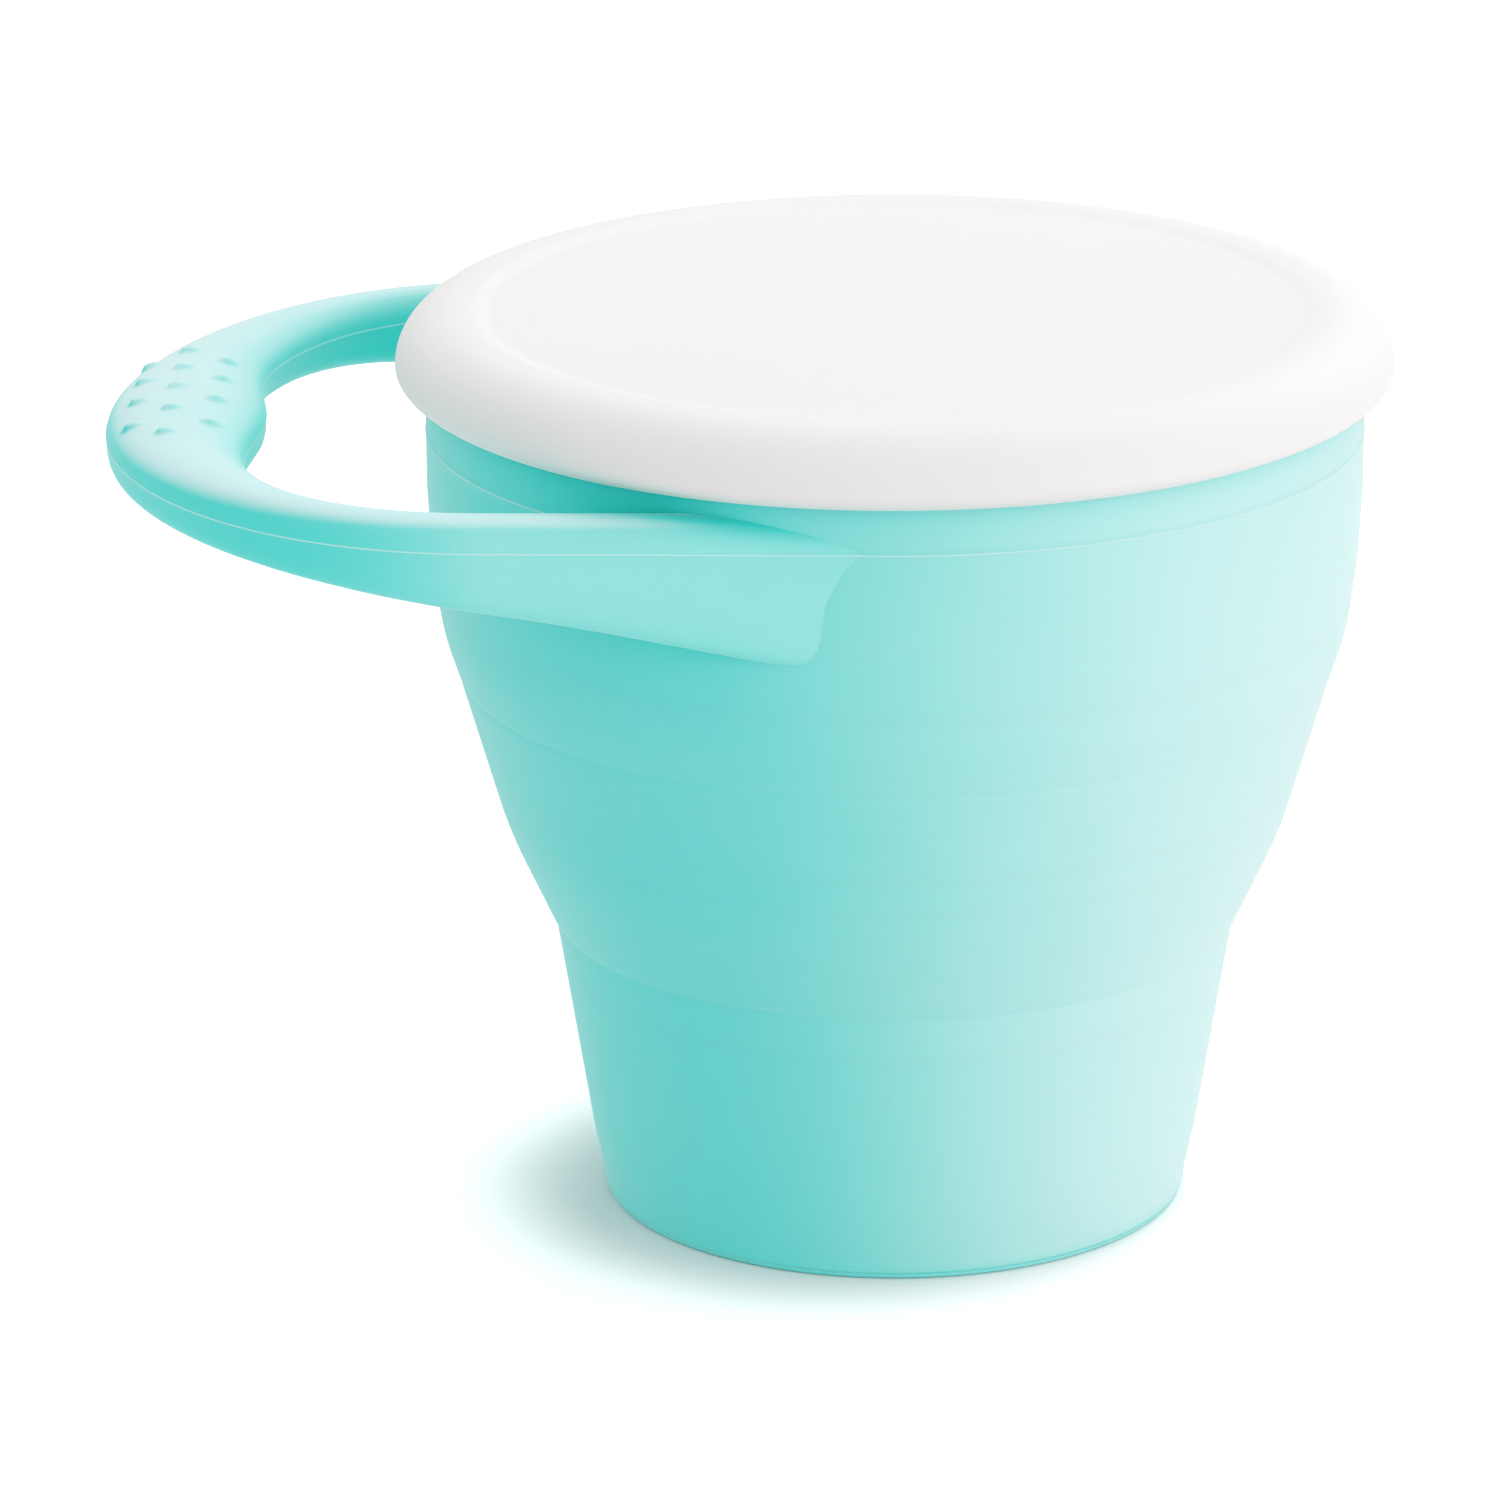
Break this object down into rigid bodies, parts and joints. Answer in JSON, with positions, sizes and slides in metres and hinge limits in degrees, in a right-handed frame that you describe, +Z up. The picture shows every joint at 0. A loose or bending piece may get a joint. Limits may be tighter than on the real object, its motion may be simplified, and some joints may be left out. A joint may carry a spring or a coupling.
{
  "type": "snack container",
  "caption": "Collapsible silicone snack cup with a looped carry handle, a slit guard in its mouth and a lift-off round lid.",
  "frame": {"origin": "middle of the base's flat underside, on the cup's axis", "axes": "+Z up along the cup's axis, the carry handle points along -X, XZ is the plane of symmetry"},
  "size_m": [0.1347, 0.104, 0.0965],
  "materials": {
    "cup_silicone": "matte teal silicone",
    "fold_silicone": "matte teal silicone, thin",
    "guard_silicone": "matte pale teal silicone",
    "lid_plastic": "matte white"
  },
  "bodies": {
    "base": {"cup_base": "cup_silicone", "lower_fold_web": "fold_silicone"},
    "middle": {"cup_middle": "cup_silicone", "upper_fold_web": "fold_silicone"},
    "collar": {"cup_collar": "cup_silicone", "carry_handle": "cup_silicone", "guard_ring": "guard_silicone"},
    "flap_1": {"guard_flap_1": "guard_silicone"},
    "flap_2": {"guard_flap_2": "guard_silicone"},
    "flap_3": {"guard_flap_3": "guard_silicone"},
    "flap_4": {"guard_flap_4": "guard_silicone"},
    "flap_5": {"guard_flap_5": "guard_silicone"},
    "flap_6": {"guard_flap_6": "guard_silicone"},
    "lid": {"lid_cover": "lid_plastic"}
  },
  "joints": [
    {"name": "lower_fold", "type": "slide", "parent": "base", "child": "middle", "axis": [0, 0, 1], "range_m": [-0.025, 0], "deforming": ["lower_fold_web"]},
    {"name": "upper_fold", "type": "slide", "parent": "middle", "child": "collar", "axis": [0, 0, 1], "range_m": [-0.025, 0], "deforming": ["upper_fold_web"]},
    {"name": "lid_lift", "type": "slide", "parent": "collar", "child": "lid", "axis": [0, 0, 1], "range_m": [0, 0.04]},
    {"name": "flap_1_fold", "type": "hinge", "parent": "collar", "child": "flap_1", "pos_m": [0.033, 0, 0.0855], "axis": [0, -1, 0], "range_deg": [-8, 65], "stiffness_Nm_per_rad": 0.004, "springref_deg": -1.15},
    {"name": "flap_2_fold", "type": "hinge", "parent": "collar", "child": "flap_2", "pos_m": [0.0165, 0.02858, 0.0855], "axis": [0.866, -0.5, 0], "range_deg": [-8, 65], "stiffness_Nm_per_rad": 0.004, "springref_deg": -1.15},
    {"name": "flap_3_fold", "type": "hinge", "parent": "collar", "child": "flap_3", "pos_m": [-0.0165, 0.02858, 0.0855], "axis": [0.866, 0.5, 0], "range_deg": [-8, 65], "stiffness_Nm_per_rad": 0.004, "springref_deg": -1.15},
    {"name": "flap_4_fold", "type": "hinge", "parent": "collar", "child": "flap_4", "pos_m": [-0.033, 0, 0.0855], "axis": [0, 1, 0], "range_deg": [-8, 65], "stiffness_Nm_per_rad": 0.004, "springref_deg": -1.15},
    {"name": "flap_5_fold", "type": "hinge", "parent": "collar", "child": "flap_5", "pos_m": [-0.0165, -0.02858, 0.0855], "axis": [-0.866, 0.5, 0], "range_deg": [-8, 65], "stiffness_Nm_per_rad": 0.004, "springref_deg": -1.15},
    {"name": "flap_6_fold", "type": "hinge", "parent": "collar", "child": "flap_6", "pos_m": [0.0165, -0.02858, 0.0855], "axis": [-0.866, -0.5, 0], "range_deg": [-8, 65], "stiffness_Nm_per_rad": 0.004, "springref_deg": -1.15}
  ]
}
